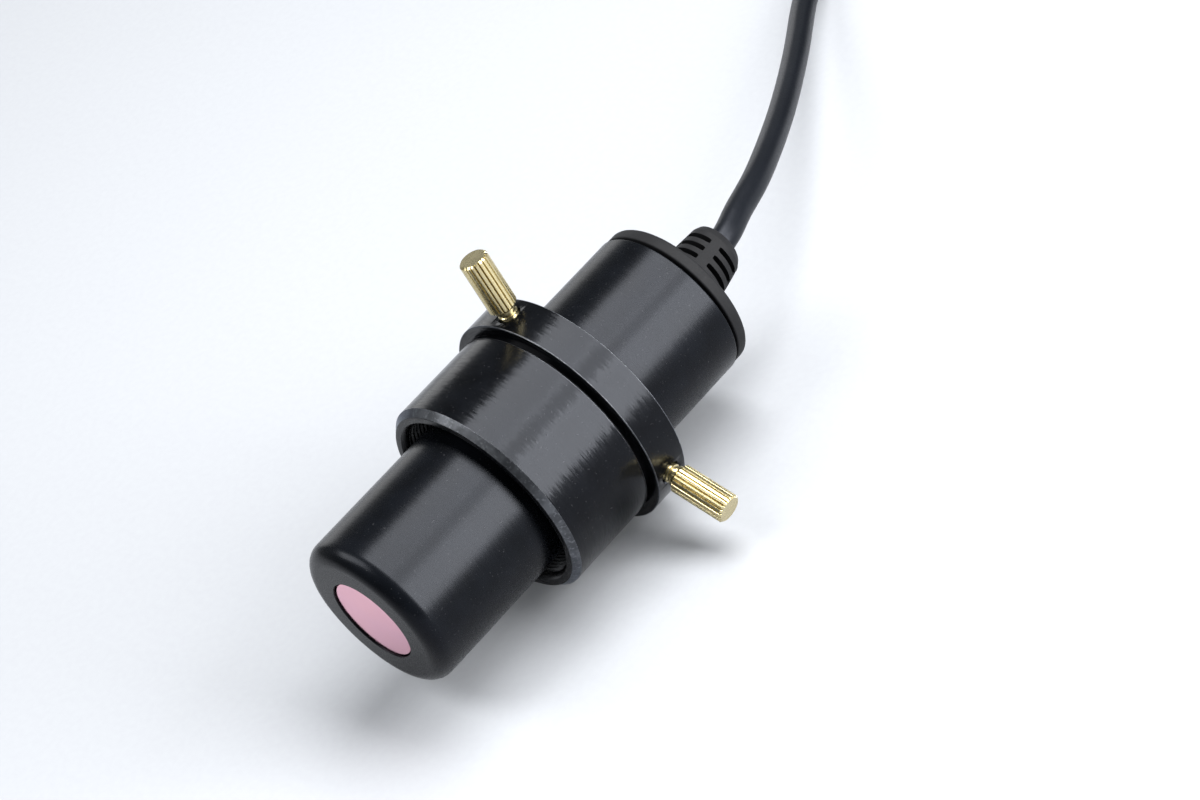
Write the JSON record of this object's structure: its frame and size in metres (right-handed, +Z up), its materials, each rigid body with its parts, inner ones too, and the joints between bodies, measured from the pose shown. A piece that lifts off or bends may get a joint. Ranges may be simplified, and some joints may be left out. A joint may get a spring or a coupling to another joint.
{
  "type": "eyepiece camera",
  "caption": "Slim barrel camera with a coated front window, sliding in an adapter sleeve clamped by thumbscrews, on a coiled plug-in lead.",
  "frame": {"origin": "on the table, under the middle of the box of the camera, adapter and thumbscrews, the lead left out", "axes": "+Z up; the barrel's axis lies along Y, its window faces -Y and its lead leaves towards +Y"},
  "size_m": [0.0844, 0.1977, 0.0428],
  "materials": {
    "black_anodised": "satin black anodised",
    "turned_black": "lathe-turned, black anodised",
    "coated_glass": "pink anti-reflection coating",
    "cover_glass": "clear",
    "dark_rubber": "matt dark grey",
    "brass": "turned and knurled",
    "steel": "plated",
    "board_green": "green solder resist on glass-fibre board",
    "chip_black": "moulded",
    "white_plastic": "moulded",
    "baffle_black": "dead matt",
    "cord_black": "soft semi-gloss cable jacket",
    "tie_black": "hook-and-loop tape",
    "grip_black": "moulded, fine texture"
  },
  "bodies": {
    "camera": {"baffle_tube": "baffle_black", "board_link": "white_plastic", "board_screw_a": "brass", "board_screw_b": "brass", "board_screw_c": "brass", "board_spacer_a": "brass", "board_spacer_b": "brass", "board_spacer_c": "brass", "body_tube": "black_anodised", "cable": "cord_black", "cable_coil": "cord_black", "cable_tail": "cord_black", "cable_tie": "tie_black", "clock_crystal": "steel", "front_window": "coated_glass", "image_sensor": "chip_black", "inner_lead": "cord_black", "lead_clamp": "brass", "lead_connector": "white_plastic", "lead_socket": "white_plastic", "main_board": "board_green", "rear_cap": "dark_rubber", "sensor_board": "board_green", "sensor_cover_glass": "cover_glass", "strain_relief": "dark_rubber", "usb_plug_grip": "grip_black", "usb_plug_shell": "steel", "usb_plug_tongue": "white_plastic", "video_chip": "chip_black", "window_gasket": "dark_rubber", "window_retainer": "steel"},
    "adapter": {"adapter_ring": "turned_black"},
    "thumbscrew_a": {"thumbscrew_a": "brass"},
    "thumbscrew_b": {"thumbscrew_b": "brass"},
    "thumbscrew_c": {"thumbscrew_c": "brass"}
  },
  "joints": [
    {"name": "adapter_slide", "type": "slide", "parent": "camera", "child": "adapter", "axis": [0, 1, 0], "range_m": [-0.03, 0.016]},
    {"name": "thumbscrew_a_loosen", "type": "slide", "parent": "adapter", "child": "thumbscrew_a", "axis": [-0.0989, 0, 0.9951], "range_m": [0, 0.003]},
    {"name": "thumbscrew_b_loosen", "type": "slide", "parent": "adapter", "child": "thumbscrew_b", "axis": [0.9112, 0, -0.4119], "range_m": [0, 0.003]},
    {"name": "thumbscrew_c_loosen", "type": "slide", "parent": "adapter", "child": "thumbscrew_c", "axis": [-0.8123, 0, -0.5832], "range_m": [0, 0.003]}
  ]
}
